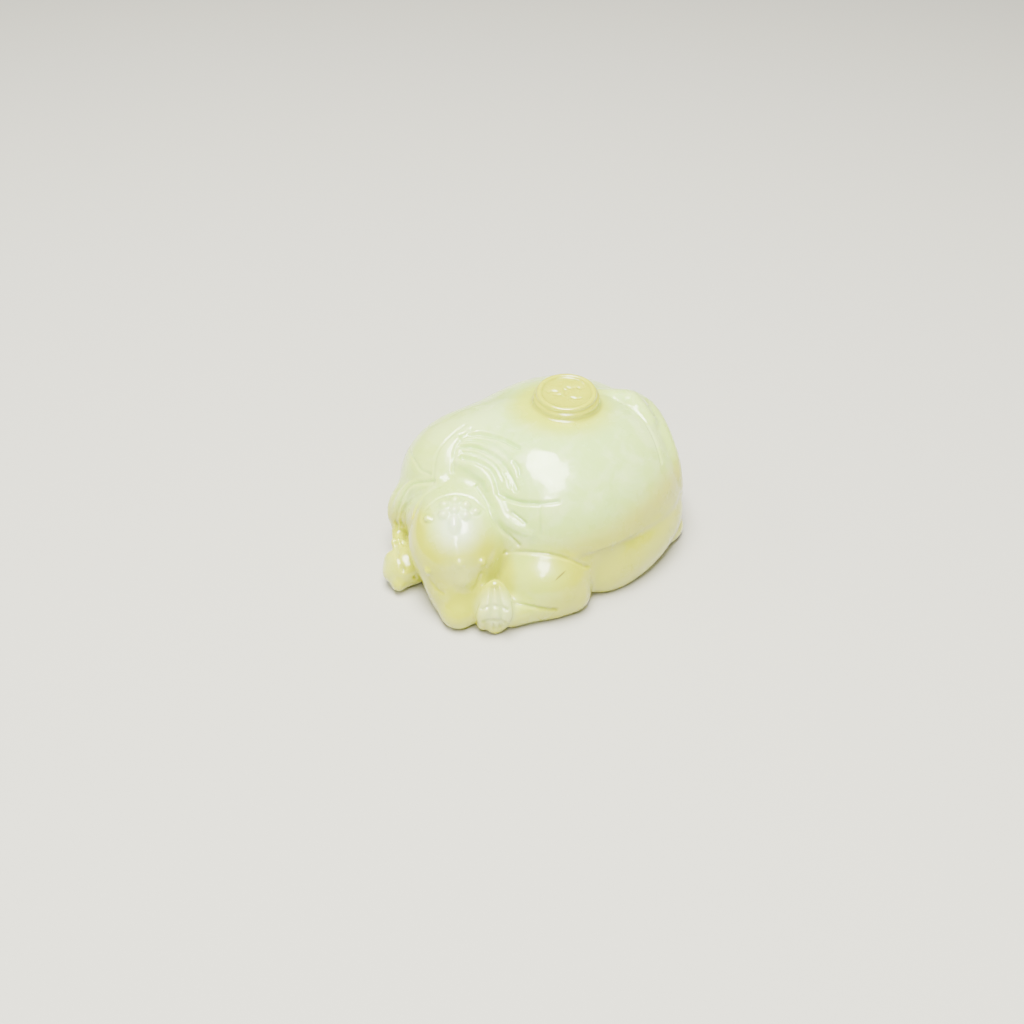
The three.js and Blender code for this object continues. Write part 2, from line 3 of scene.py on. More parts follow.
import bpy
import numpy as np
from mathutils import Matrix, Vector


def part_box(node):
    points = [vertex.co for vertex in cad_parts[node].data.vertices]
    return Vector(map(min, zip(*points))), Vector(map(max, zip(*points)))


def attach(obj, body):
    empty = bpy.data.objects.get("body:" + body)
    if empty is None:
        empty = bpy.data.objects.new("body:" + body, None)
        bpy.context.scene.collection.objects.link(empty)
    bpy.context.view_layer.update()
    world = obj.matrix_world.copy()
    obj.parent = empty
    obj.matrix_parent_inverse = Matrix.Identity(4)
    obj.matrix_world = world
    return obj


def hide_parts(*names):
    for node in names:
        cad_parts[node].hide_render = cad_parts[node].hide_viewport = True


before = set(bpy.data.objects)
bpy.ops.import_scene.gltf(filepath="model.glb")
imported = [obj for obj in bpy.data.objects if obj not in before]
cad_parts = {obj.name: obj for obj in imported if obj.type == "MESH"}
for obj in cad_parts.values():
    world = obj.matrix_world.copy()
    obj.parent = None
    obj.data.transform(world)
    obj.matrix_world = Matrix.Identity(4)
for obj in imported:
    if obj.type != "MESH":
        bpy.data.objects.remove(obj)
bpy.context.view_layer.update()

# Jade turtle figurine, one polished stone. Lengths are in millimetres until the mesh is made.
mm = 0.001


# helpers for directions

def vec(*v):
    return np.array(v, float)


def unit(v):
    v = np.asarray(v, float)
    return v / np.linalg.norm(v)


# three axes: to the side, ahead and up, for something that looks this way
def facing(forward):
    ahead = unit(forward)
    side = unit(np.cross(ahead, (0, 0, 1)))
    return np.array([side, ahead, np.cross(side, ahead)])


# sculpting forms: each is a distance function with the box that it matters in

# an ellipsoid, boxier with a power over 2, its axes turned where a set of them is given
def egg(centre, radii, turned=None, power=2.0):
    centre, radii = vec(*centre), vec(*radii)
    axes = np.eye(3) if turned is None else turned

    def distance(p):
        share = np.abs((p - centre) @ axes.T) / radii
        size = np.maximum((share ** power).sum(1) ** (1 / power), 1e-6)
        slope = (share / size[:, None]) ** (power - 1) / radii
        return (size - 1) / np.maximum(np.sqrt((slope ** 2).sum(1)), 1e-6)
    reach = radii.max()
    return distance, centre - reach, centre + reach


# a smooth curve through a few points, with this many steps from one to the next
def smoothPath(points, steps=6):
    points = np.asarray(points, float)
    if len(points) < 3:
        return points
    p = np.vstack([2 * points[0] - points[1], points, 2 * points[-1] - points[-2]])
    path = []
    for i in range(1, len(p) - 2):
        a, b, c, d = p[i - 1:i + 3]
        for t in np.arange(steps) / steps:
            path.append(0.5 * (2 * b + (c - a) * t + (2 * a - 5 * b + 4 * c - d) * t * t
                               + (3 * b - 3 * c + d - a) * t ** 3))
    path.append(points[-1])
    return np.array(path)


# a round bar along a path, its radii spread evenly from one end to the other
def bar(path, radii):
    path = np.asarray(path, float)
    along = np.linspace(0, 1, len(path))
    thick = np.interp(along, np.linspace(0, 1, len(radii)), radii)

    def distance(p):
        best = np.full(len(p), 1e6)
        for a, b, ra, rb in zip(path[:-1], path[1:], thick[:-1], thick[1:]):
            run = b - a
            t = np.clip((p - a) @ run / max(run @ run, 1e-9), 0, 1)
            gap = np.linalg.norm(p - a - t[:, None] * run, axis=1)
            best = np.minimum(best, gap - ra - (rb - ra) * t)
        return best
    reach = thick.max()
    return distance, path.min(0) - reach, path.max(0) + reach


# the nearer of two forms, with a fillet this soft where they meet
def blend(a, b, soft):
    h = np.clip(0.5 + 0.5 * (b - a) / soft, 0, 1)
    return b + (a - b) * h - soft * h * (1 - h)


# adds a form to the stone, only where it can matter
def addForm(d, p, form, soft):
    distance, lowest, highest = form
    spare = 0.6
    near = ((p > lowest - soft - spare) & (p < highest + soft + spare)).all(1)
    if near.any():
        d[near] = blend(d[near], distance(p[near]), soft)
    return d


# shell, head and body

shell = {
    "length": 43.4, "width": 41.2, "height": 25.3, "spring": 8.0, "squareness": 2.35,
    "rim": 10.2, "rimRounding": 0.8, "setBack": 6.2, "bellyInset": 0.5, "bellyDepth": 11.5,
    "shoulderAt": (-0.46, -0.576, 0.456), "shoulder": (11.3, 12.0, 11.5), "shoulderFade": 4.0,
}
crease = 0.8  # how softly one form meets the next


# a place as shares of half the shell's width, half its length and its height
def place(across, along, up):
    return vec(across * shell["width"] / 2, shell["setBack"] + along * shell["length"] / 2,
               up * shell["height"])


domeRadii = vec(shell["width"] / 2, shell["length"] / 2, shell["height"] - shell["spring"])
domeMiddle = vec(0, shell["setBack"], shell["spring"])


# a place under the dome, from the way round it (0 is the turtle's left), the rise and the depth
def underDome(around, rise, depth):
    around, rise = math.radians(around), math.radians(rise)
    way = vec(math.cos(around) * math.cos(rise), math.sin(around) * math.cos(rise), math.sin(rise))
    power = shell["squareness"]
    reach = 1 / ((np.abs(way) / domeRadii) ** power).sum() ** (1 / power)
    return domeMiddle + way * (reach - depth)


def shellDistance(p):
    dome = egg(domeMiddle, domeRadii, None, shell["squareness"])[0](p)
    shoulder = egg(place(*shell["shoulderAt"]), shell["shoulder"])[0](p)
    dome = blend(dome, shoulder, shell["shoulderFade"])
    return -blend(-dome, p[:, 2] - shell["rim"], shell["rimRounding"])


head = {
    "turn": 45, "dip": 29.5, "width": 16.4, "length": 18.4, "depth": 14.8, "squareness": 2.1,
    "middle": (0.4, -17.7, 10.3), "muzzleWidth": 11.2, "muzzleReach": 6.0, "muzzleDrop": 1.7,
    "chinWidth": 5.8, "crownBump": 0.78, "nose": 0.7225, "nostril": 0.6, "eye": 0.5,
    "knobSoft": 0.45, "neckSoft": 1.6,
}
turn = math.radians(head["turn"])
outward = vec(math.sin(turn), -math.cos(turn), 0)
headFrame = facing(outward - vec(0, 0, math.tan(math.radians(head["dip"]))))

body = {
    "neck": (10.5, 8.5, 8.5), "breast": (7.2, 7.7, 5.2), "throat": (3.2, 2.9),
    "arm": (8.0, 7.0, 6.6), "farArm": (4.8, 7.5, 6.5), "forearm": 5.2,
    "paw": (2.9, 4.7, 1.9), "pawSquareness": 1.75, "pawTilt": 20, "toe": 2.3,
    "toeSpread": (0.5, 1.7, 1.4), "toeArch": 1.2, "toeLead": 0.4, "toeSoft": 0.35,
    "farPaw": (3.7, 5.0, 3.4), "farToe": 2.9, "thigh": (5.2, 12.5, 6.0),
    "rearFoot": (3.8, 5.0, 2.4), "tail": 5.2,
}


# each form of the body with how softly it meets the rest
def bodyForms():
    forms = [
        (egg(place(0, -0.03, 0.29), (shell["width"] / 2 - shell["bellyInset"],
             shell["length"] / 2 - shell["bellyInset"], shell["bellyDepth"]), None,
             shell["squareness"]), 0.5),
        (egg(place(-0.146, -0.862, 0.383), body["neck"], headFrame), 1.5),
        (egg(place(0.6, -0.74, 0.18), body["arm"], facing(outward)), 2.2),
        (egg(place(-0.602, -0.894, 0.326), body["farArm"], facing((-0.2, -1, 0))), 1.1),
        (egg(place(0.02, -1.03, 0.13), body["breast"], facing(outward)), 1.0),
        (bar([place(0.42, -0.98, 0.11), place(0.45, -1.23, 0.115)], body["throat"]), 1.0),
    ]
    wrist = body["forearm"]
    forms.append((bar([place(0.84, -0.66, 0.107), place(0.63, -1.12, 0.1)],
                      [wrist * 0.56, wrist * 0.5]), 1.4))
    forms.append((bar([place(-0.66, -0.83, 0.14), place(-0.4, -1.26, 0.115)],
                      [wrist * 0.6, wrist * 0.5]), crease))
    # near paw: a leaf of three toes, its wrist up and its tips on the ground
    tilt = math.radians(body["pawTilt"])
    pawUp = vec(0, 0, math.cos(tilt)) - outward * math.sin(tilt)
    pawFrame = facing(pawUp)
    wristAt, tipAt = place(0.575, -1.2, 0.3), place(0.6, -1.285, 0.07)
    forms.append((egg((wristAt + tipAt) / 2, body["paw"], pawFrame, body["pawSquareness"]),
                  crease))
    atWrist, atKnuckle, atTip = body["toeSpread"]
    thick = body["toe"] / 2
    for across in (-1, 0, 1):
        side = pawFrame[0] * across
        knuckle = (wristAt + tipAt) / 2 + side * atKnuckle + outward * body["toeArch"]
        lead = outward * body["toeLead"] * (1 - abs(across))  # the middle toe is ahead
        toe = smoothPath([wristAt + side * atWrist, knuckle, tipAt + side * atTip + lead], 10)
        forms.append((bar(toe, [thick * 0.6, thick, thick * 1.05, thick * 0.9]),
                      body["toeSoft"]))
    # far paw: four toes side by side under the cheek
    forms.append((egg(place(-0.33, -1.31, 0.13), body["farPaw"], facing((-0.3, -1, 0))), crease))
    farTips = ((-0.49, -1.315, 0.24), (-0.425, -1.42, 0.19), (-0.36, -1.49, 0.125),
               (-0.27, -1.49, 0.08))
    for i, tip in enumerate(farTips):
        forms.append((bar([place(-0.32, -1.18, 0.06), place(*tip)],
                          [body["farToe"] * 0.3, body["farToe"] * (0.34 + 0.03 * i)]), 0.9))
    for side in (1, -1):
        forms.append((egg(place(side * 0.816, 0.074, 0.19), body["thigh"],
                          facing((side * -0.06, 1, 0.18))), 2.0))
        forms.append((egg(place(side * 0.77, 0.46, 0.084), body["rearFoot"]), crease))
    # the tail comes from under the shell behind the thigh and curls over the back to the coin
    over = ((48, -6, 2.2), (38, 8, 2.1), (38, 20, 1.7), (46, 28, 1.5), (57, 33, 1.2),
            (66, 37, 0.9), (74, 42, 0.9), (79, 50, 1.1), (84, 58, 0.9))
    tail = smoothPath([place(-0.05, 0.72, 0.12), place(0.36, 0.84, 0.2)]
                      + [underDome(*spot) for spot in over])
    thickness = (1, 1, 0.95, 0.86, 0.86, 0.86, 0.9, 0.95, 0.9, 0.7, 0.4)  # from root to tip
    forms.append((bar(tail, [share * body["tail"] / 2 for share in thickness]), 0.7))
    return forms


def headForms():
    middle = vec(*head["middle"])
    muzzle = middle + headFrame[1] * head["muzzleReach"] - headFrame[2] * head["muzzleDrop"]
    chin = head["chinWidth"]
    return [(egg(middle, (head["width"] / 2, head["length"] / 2, head["depth"] / 2),
                 headFrame, head["squareness"]), crease),
            (egg(muzzle, (head["muzzleWidth"] / 2, head["length"] * 0.34, head["depth"] * 0.32),
                 headFrame), 1.6),
            (bar([muzzle + headFrame[1] * 4 - headFrame[2] * 2.2, place(0.33, -1.37, 0.1)],
                 (chin * 0.6, chin * 0.43)), 2.0),
            (egg(place(0.335, -1.405, 0.092), (chin / 2, chin * 0.46, chin * 0.43)), 1.2)]


masses = bodyForms()
skull = headForms()


def bodyDistance(p):
    d = shellDistance(p)
    for form, soft in masses:
        d = addForm(d, p, form, soft)
    return d


def headDistance(p):
    d = skull[0][0][0](p)
    for form, soft in skull[1:]:
        d = blend(d, form[0](p), soft)
    return d


# The carving is drawn on a sheet seen from the camera, in millimetres to the right of the middle
# of the face and up, and laid on the stone from there.

view = {
    "azimuth": 45, "rise": 38,  # degrees round from the front and up
    "sheetAway": 45, "sheetShift": -0.36,
}
azimuth, rise = math.radians(view["azimuth"]), math.radians(view["rise"])
toViewer = vec(math.sin(azimuth) * math.cos(rise), -math.cos(azimuth) * math.cos(rise),
               math.sin(rise))
sheetRight = vec(math.cos(azimuth), math.sin(azimuth), 0)
sheetUp = np.cross(toViewer, sheetRight)
faceMiddle = vec(*head["middle"]) @ sheetRight + view["sheetShift"]


# moves each start along a direction until it touches the stone
def layOn(stone, starts, towards):
    stride, touching = 0.85, 0.01
    p = np.array(starts, float)
    going = np.ones(len(p), bool)
    for again in range(90):
        gap = stone(p[going])
        p[going] += np.outer(gap * stride, towards)
        moving = np.nonzero(going)[0]
        going[moving[gap < touching]] = False
        if not going.any():
            break
    return p


def onStone(stone, sheet, side=1, lift=0.0):
    away = toViewer * view["sheetAway"]
    starts = [sheetRight * (faceMiddle + side * across) + sheetUp * up + away
              for across, up in sheet]
    return layOn(stone, starts, -toViewer) + toViewer * lift


# the raised carving: the collar, the lock, the knot of hair, the nose and the tail's tuft
def raisedCarving():
    steps = []

    def raised(sheet, radii, stone=bodyDistance, side=1, lift=0.0, soft=crease):
        path = smoothPath(onStone(stone, sheet, side, lift), 12)
        steps.append((bar(path, radii), soft))

    def knob(across, up, radius, sink):
        steps.append((egg(onStone(headDistance, [(across, up)], 1, -sink)[0],
                          (radius,) * 3), head["knobSoft"]))

    raised([(0.4, 12.9), (3.2, 11.8), (5.6, 9.8), (6.9, 6.6), (8.6, 3.4), (12.3, 1.2)],
           (0.9, 1.3, 1.4, 1.3, 1.3, 0.8), lift=-0.65, soft=0.45)  # near side of the collar
    raised([(3, 9.6), (7.4, 8.9), (9.5, 6), (10.3, 1.5), (10, -2.5)],
           (0.9, 1.2, 1.3, 1.2, 0.9), side=-1, lift=-0.6, soft=0.45)  # and its far side
    raised([(-2.3, 9.8), (-1.6, 14), (0, 17), (2.2, 20)], (2.2, 1.8, 1.2, 0.4), lift=-2.0,
           soft=0.7)  # the pointed lock
    for up, share in ((4.9, 1.0), (2.4, 1.0625), (1.7, 0.6875)):  # the heart of the knot
        knob(0, up, head["crownBump"] * share, 0.15)
    petals = 6  # round the heart
    for i in range(petals):
        angle = 2 * math.pi * i / petals + 0.5
        knob(2.0 * math.cos(angle), 4.9 + 1.6 * math.sin(angle), head["crownBump"], 0.12)
    raised([(0, 1.4), (0.3, -1.0), (0.9, -3.0), (1.3, -6.0)], (0.7, 1.1, 1.3, 1.4),
           stone=headDistance, lift=-1.05, soft=0.9)  # the bridge of the nose and the muzzle
    # the muzzle is rolled a little, so its right side lies higher
    knob(0.9, -3.5, head["nose"], 0.1)
    knob(-4.3, -4.8, head["nostril"], 0.1)
    knob(4.4, -3.3, head["nostril"], 0.15)
    knob(-4.4, 3.6, head["eye"], 0.1)
    knob(3.4, 4.8, head["eye"], 0.1)
    # the tuft of the tail
    raised([(27.2, 24.6), (29.7, 23.8), (30.9, 22.3), (32.6, 20.2)], (0.7, 1.6, 1.7, 1.1),
           lift=-0.5, soft=1.6)
    return steps


raisedSteps = raisedCarving()

# the coin on the shell: a tablet with a dish inside its rim and a step round its foot

coin = {
    "diameter": 10.2, "rise": 2.2, "rim": 0.9, "dish": 0.35, "lean": 0.3, "back": 1.7,
    "edge": 0.35, "step": 0.5, "drop": 0.85, "tilt": 5, "fillet": 0.8, "crease": 0.3,
    # height of a row over the middle, where its strokes start, how long they are, their lean
    "strokes": ((1.5, (-2.9, -1.2), 1.1, -0.4), (0.2, (1.6,), 1.5, 0.25), (-0.5, (1.1,), 0.9, -0.1),
                (0.9, (0.1,), 0.25, -1.3), (-1.4, (-2.3,), 1.6, -0.2)),
}
coinTilt = math.radians(coin["tilt"])
coinUp = outward * math.sin(coinTilt) + vec(0, 0, math.cos(coinTilt))
coinMiddle = vec(coin["lean"], shell["setBack"] + coin["back"], shell["height"] + coin["rise"])


# a round tablet of one radius with its top this far below the coin's face
def tablet(out, depth, radius, drop):
    edge = coin["edge"]
    return np.hypot(np.maximum(out - radius + edge, 0),
                    np.maximum(edge + drop - depth, 0)) - edge


def stoneDistance(p):
    d = blend(bodyDistance(p), headDistance(p), head["neckSoft"])
    for form, soft in raisedSteps:
        d = addForm(d, p, form, soft)
    depth = (coinMiddle - p) @ coinUp
    out = np.linalg.norm(p - coinMiddle + depth[:, None] * coinUp, axis=1)
    near = (out < coin["diameter"]) & (depth < shell["height"] / 2)
    if near.any():
        r, below = out[near], depth[near]
        radius = coin["diameter"] / 2
        face = blend(tablet(r, below, radius, 0),
                     tablet(r, below, radius + coin["step"], coin["drop"]), coin["crease"])
        dish = np.maximum(r - radius + coin["rim"], below - coin["dish"])
        d[near] = -blend(-blend(d[near], face, coin["fillet"]), dish, coin["crease"])
    return np.maximum(d, -p[:, 2])  # ground flat underneath


# Turns the distance function into a mesh of quads, a vertex to each grid cell on the surface.

sculpt = {
    "low": (-24, -31, -0.36), "high": (24, 31, 29.2),  # corners of the grid
    "cell": 0.24, "block": 4, "margin": 1.5, "batch": 400000,
    "settleStep": 0.04, "settleMost": 0.12, "grounded": (0.02, 0.03), "triangles": 190000,
}


# samples whole blocks coarsely, and every cell only in the blocks that are near the surface
def sampleStone(low, high):
    step, block = sculpt["cell"], sculpt["block"]
    blocks = np.ceil((high - low) / (step * block)).astype(int)
    count = blocks * block + 1
    index = np.stack(np.meshgrid(*[np.arange(n) for n in blocks], indexing="ij"), -1)
    middles = low + (index.reshape(-1, 3) + 0.5) * step * block
    overall = stoneDistance(middles).reshape(blocks)
    near = np.abs(overall) < sculpt["margin"] * step * block
    field = np.full(count, 9.0, np.float32)  # any value outside the stone
    field[:-1, :-1, :-1] = np.kron(overall, np.ones((block,) * 3)).astype(np.float32)
    wanted = np.zeros(count, bool)
    for i, j, k in np.argwhere(near):
        wanted[i * block:(i + 1) * block + 1, j * block:(j + 1) * block + 1,
               k * block:(k + 1) * block + 1] = True
    where = np.argwhere(wanted)
    values = np.empty(len(where), np.float32)
    for start in range(0, len(where), sculpt["batch"]):
        part = where[start:start + sculpt["batch"]]
        values[start:start + sculpt["batch"]] = stoneDistance(low + part * step)
    field[tuple(where.T)] = values
    return field


# a point in each cell that the surface crosses, and a quad for each crossed edge of the grid
def netOf(field, low):
    step = sculpt["cell"]
    inside = field < 0
    corners = [(i, j, k) for i in (0, 1) for j in (0, 1) for k in (0, 1)]
    size = np.array(field.shape) - 1

    def shifted(grid, c):
        return grid[c[0]:c[0] + size[0], c[1]:c[1] + size[1], c[2]:c[2] + size[2]]
    total = sum(shifted(inside, c).astype(np.uint8) for c in corners)
    cells = np.argwhere((total > 0) & (total < 8))
    numbering = np.full(size, -1, np.int32)
    numbering[tuple(cells.T)] = np.arange(len(cells))
    summed, crossings = np.zeros((len(cells), 3)), np.zeros(len(cells))
    for a in corners:
        for axis in range(3):
            if a[axis]:
                continue
            b = tuple(v + (n == axis) for n, v in enumerate(a))
            va = field[tuple((cells + a).T)]
            vb = field[tuple((cells + b).T)]
            cut = (va < 0) != (vb < 0)
            t = va[cut] / (va[cut] - vb[cut])
            spot = np.tile(np.array(a, float), (cut.sum(), 1))
            spot[:, axis] += t
            summed[cut] += spot
            crossings[cut] += 1
    points = low + (cells + summed / crossings[:, None]) * step
    quads = []
    for axis in range(3):
        u, v = np.eye(3, dtype=int)[(axis + 1) % 3], np.eye(3, dtype=int)[(axis + 2) % 3]
        here = inside[tuple(slice(0, -1) if n == axis else slice(None) for n in range(3))]
        there = inside[tuple(slice(1, None) if n == axis else slice(None) for n in range(3))]
        edges = np.argwhere(here != there)
        leaving = inside[tuple(edges.T)]
        ring = [numbering[tuple((edges - back).T)] for back in (0 * u, u, u + v, v)]
        quad = np.stack(ring, 1)
        quad[~leaving] = quad[~leaving][:, ::-1]
        quads.append(quad)
    return points, np.vstack(quads)


# moves the points onto the surface itself, and keeps the base flat on the ground
def settle(points):
    step, most = sculpt["settleStep"], sculpt["settleMost"]
    onGround, nearGround = sculpt["grounded"]
    for again in range(2):
        flat = points[:, 2] < onGround
        base = stoneDistance(points)
        slope = np.stack([(stoneDistance(points + step * unitAxis) - base) / step
                          for unitAxis in np.eye(3)], 1)
        steep = np.maximum((slope ** 2).sum(1), 0.3)  # no leaps where the slope is faint
        move = -slope * np.clip(base / steep, -most, most)[:, None]
        move[flat] = 0
        points = points + move
    points[points[:, 2] < nearGround, 2] = 0
    return points


def meshOf(name, points, faces):
    mesh = bpy.data.meshes.new(name)
    mesh.vertices.add(len(points))
    mesh.vertices.foreach_set("co", np.asarray(points, np.float32).ravel())
    mesh.loops.add(faces.size)
    mesh.loops.foreach_set("vertex_index", faces.ravel().astype(np.int32))
    mesh.polygons.add(len(faces))
    mesh.polygons.foreach_set("loop_start", np.arange(0, faces.size, faces.shape[1],
                                                      dtype=np.int32))
    mesh.polygons.foreach_set("loop_total", np.full(len(faces), faces.shape[1], np.int32))
    mesh.update(calc_edges=True)
    mesh.validate()
    obj = bpy.data.objects.new(name, mesh)
    bpy.context.scene.collection.objects.link(obj)
    return obj


low, high = vec(*sculpt["low"]), vec(*sculpt["high"])
points, quads = netOf(sampleStone(low, high), low)
points = settle(points)
print("sculpted", len(points), "points", len(quads), "quads")
solidLow, solidHigh = (vec(*corner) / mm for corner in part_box("turtle"))
shift = (solidLow + solidHigh) / 2 - (points.min(0) + points.max(0)) / 2
shift[2] = 0
print("centred on the solid by", shift.round(2), "mm")


# engraved lines: a point list for each, on the surface of the stone

engraving = {
    "bold": {"Half Width": 0.62, "Depth": 0.58},
    "deep": {"Half Width": 0.48, "Depth": 0.42},
    "fine": {"Half Width": 0.36, "Depth": 0.22},
    "paw": 0.75, "eyeRing": (0.95, 0.7),  # half the gap of two grooves, half sizes of a ring
}


def engravedLines():
    def drawn(stone, sheet, side=1):
        return smoothPath(onStone(stone, sheet, side), 8)

    def onHead(sheet, side=1):
        return drawn(headDistance, sheet, side)

    def onAll(sheet, side=1):
        return drawn(stoneDistance, sheet, side)

    bold, deep, fine = [], [], []
    # strands swept back from the lock over the shell
    bold.append(onAll([(0.8, 17.3), (3.9, 17.6), (7.2, 16.8), (10.2, 15.2)]))
    bold.append(onAll([(0.6, 15.5), (3.6, 15.2), (6.8, 13.4), (8.9, 10.6), (9.9, 8.2)]))
    bold.append(onAll([(0.8, 13.7), (3.6, 12.9), (5.9, 11.3), (7.1, 7.9)]))
    bold.append(onAll([(6.9, 7.8), (8.4, 6.9), (10.6, 6.2), (13.2, 6.0)]))
    deep.append(onAll([(13.2, 6.0), (15.2, 6.1), (16.6, 6.3)]))
    fine.append(onAll([(0.8, 16.4), (3.8, 16.5), (6.8, 15.4), (8.9, 13.4)]))
    fine.append(onAll([(0.8, 14.6), (3.6, 14.1), (6.2, 12.5), (7.8, 9.8)]))
    deep.append(onAll([(9.2, 4.6), (10.2, 3.8), (11.3, 2.9)]))
    deep.append(onAll([(9.6, 12.8), (10.2, 11.8), (10.4, 10.6)]))
    deep.append(onAll([(8.0, 11.0), (8.7, 10.0), (8.9, 8.8)]))
    # the lock: its two edges
    fine.append(onAll([(-3.9, 9.9), (-3.3, 14.1), (-1.2, 17.1), (1.3, 19.2)]))
    deep.append(onAll([(-0.5, 11.3), (-0.1, 15.5), (2.4, 18.5)]))
    # between the head and the collar, on both sides
    deep.append(onAll([(3.4, 8.9), (5, 6.6), (6.1, 3.7), (7.8, 1.7), (10.3, -0.7)]))
    bold.append(onAll([(-3.8, 9.8), (-7.8, 9.3), (-9.7, 6.2), (-10.6, 2.4), (-10.1, -1.8),
                       (-8.9, -5)]))
    deep.append(onAll([(-6.2, 7.8), (-9, 5.3), (-9.6, 2.4), (-9.3, -0.6), (-7, -6.4)]))
    # the front edge of the shell on the far side
    fine.append(onAll([(-8.3, 15.3), (-7.2, 13.3), (-6.0, 11.7), (-4.3, 10.9)]))
    # a faint line on the shell
    fine.append(onAll([(13.8, 6), (13.8, 3.5), (13.8, 1)]))
    # the near arm: its upper edge under the shell, and the crease over the forearm
    deep.append(onAll([(8.1, -1.9), (11.8, -1.8), (17, -2.5), (21.6, -4.3)]))
    deep.append(onAll([(9.6, -9.9), (12.4, -10.6), (16.4, -11.2)]))
    # the near paw: two grooves between its toes and two joints across
    for across in (-engraving["paw"], engraving["paw"]):
        deep.append(onAll([(6.4 + across * 0.5, -7.4), (6.6 + across, -10.6),
                           (6.8 + across * 0.8, -14.0)]))
    deep.append(onAll([(4.3, -10.8), (6.4, -10.3), (8.4, -10.9)]))
    deep.append(onAll([(4.6, -13.0), (6.5, -12.7), (8.4, -13.2)]))
    # the inner edge of the tail
    fine.append(onAll([(26.4, 24.3), (29.2, 22.7), (32.0, 19.6), (33.6, 15.8), (34.2, 12.9)]))
    # brow lines round the crown
    for side in (1, -1):
        bold.append(onHead([(0, 8.8), (3, 8.3), (5, 7.1), (6.3, 5.5), (7, 3.8)], side))
        fine.append(onHead([(0, 7.5), (2.4, 7.0), (3.8, 6.0), (4.9, 4.9)], side))
    # a ring round each eye
    wide, tall = engraving["eyeRing"]
    for across, up in ((-4.4, 3.6), (3.4, 4.8)):
        fine.append(onHead([(across + wide * math.cos(a), up + tall * math.sin(a))
                            for a in np.linspace(0, 2 * math.pi, 13)]))
    # the two corners of the mouth
    fine.append(onHead([(-3.8, -6.6), (-2.9, -7.7), (-1.8, -8.4)]))
    fine.append(onHead([(2.9, -8.0), (3.6, -6.8), (4.2, -5.2)]))
    return {"bold": bold, "deep": deep, "fine": fine}


# rows of short strokes in the dish of the coin, in its own plane
def coinStrokes():
    row = unit(np.cross(coinUp, -outward))
    column = np.cross(row, coinUp)
    strokes = []
    for up, starts, length, lean in coin["strokes"]:
        for start in starts:
            ends = [(start, up), (start + length / 2, up + lean), (start + length, up)]
            strokes.append(np.array([coinMiddle - coinUp * coin["dish"] + row * x + column * y
                                     for x, y in ends]))
    return strokes


lines = engravedLines()
lines["fine"] += coinStrokes()
print("drawn", sum(len(paths) for paths in lines.values()), "engraved lines")


# adds a node to a tree; an input is named, or i0, i1 ... by its number, and takes a value or a link
def addNode(tree, kind, settings=(), **inputs):
    made = tree.nodes.new(kind)
    for key, value in dict(settings).items():
        setattr(made, key, value)
    for key, value in inputs.items():
        socket = made.inputs[int(key[1:])] if key[1:].isdigit() else made.inputs[key]
        if isinstance(value, bpy.types.NodeSocket):
            tree.links.new(value, socket)
        else:
            socket.default_value = value
    return made


# A tree that pushes the surface in along a set of lines, deepest on the line itself.
def engravingTree():
    tree = bpy.data.node_groups.new("engraving", "GeometryNodeTree")
    face = tree.interface
    face.new_socket("Geometry", in_out="INPUT", socket_type="NodeSocketGeometry")
    face.new_socket("Lines", in_out="INPUT", socket_type="NodeSocketObject")
    for name in ("Half Width", "Depth"):
        face.new_socket(name, in_out="INPUT", socket_type="NodeSocketFloat")
    face.new_socket("Stone", in_out="INPUT", socket_type="NodeSocketMaterial")
    face.new_socket("Geometry", in_out="OUTPUT", socket_type="NodeSocketGeometry")

    given = addNode(tree, "NodeGroupInput")
    drawn = addNode(tree, "GeometryNodeObjectInfo", Object=given.outputs["Lines"])
    near = addNode(tree, "GeometryNodeProximity", {"target_element": "EDGES"},
                   i0=drawn.outputs["Geometry"])
    share = addNode(tree, "ShaderNodeMath", {"operation": "DIVIDE", "use_clamp": True},
                    i0=near.outputs["Distance"], i1=given.outputs["Half Width"])
    square = addNode(tree, "ShaderNodeMath", {"operation": "MULTIPLY"},
                     i0=share.outputs[0], i1=share.outputs[0])
    rest = addNode(tree, "ShaderNodeMath", {"operation": "SUBTRACT"},
                   i0=1.0, i1=square.outputs[0])
    groove = addNode(tree, "ShaderNodeMath", {"operation": "MULTIPLY"},
                     i0=rest.outputs[0], i1=rest.outputs[0])
    sunk = addNode(tree, "ShaderNodeMath", {"operation": "MULTIPLY"},
                   i0=groove.outputs[0], i1=given.outputs["Depth"])
    inward = addNode(tree, "ShaderNodeMath", {"operation": "MULTIPLY"},
                     i0=sunk.outputs[0], i1=-1.0)
    normal = addNode(tree, "GeometryNodeInputNormal")
    offset = addNode(tree, "ShaderNodeVectorMath", {"operation": "SCALE"},
                     i0=normal.outputs[0], Scale=inward.outputs[0])
    moved = addNode(tree, "GeometryNodeSetPosition", Geometry=given.outputs["Geometry"],
                    Offset=offset.outputs[0])
    whole = addNode(tree, "GeometryNodeRealizeInstances", Geometry=moved.outputs[0])
    coated = addNode(tree, "GeometryNodeSetMaterial", Geometry=whole.outputs[0],
                     Material=given.outputs["Stone"])
    out = addNode(tree, "NodeGroupOutput")
    tree.links.new(coated.outputs[0], out.inputs[0])
    return tree


def lineObject(name, paths):
    corners = np.vstack(paths)
    edges, start = [], 0
    for path in paths:
        edges += [(start + i, start + i + 1) for i in range(len(path) - 1)]
        start += len(path)
    mesh = bpy.data.meshes.new(name)
    mesh.from_pydata([tuple(p) for p in (corners + shift) * mm], edges, [])
    obj = bpy.data.objects.new(name, mesh)
    bpy.context.scene.collection.objects.link(obj)
    return obj


# jade

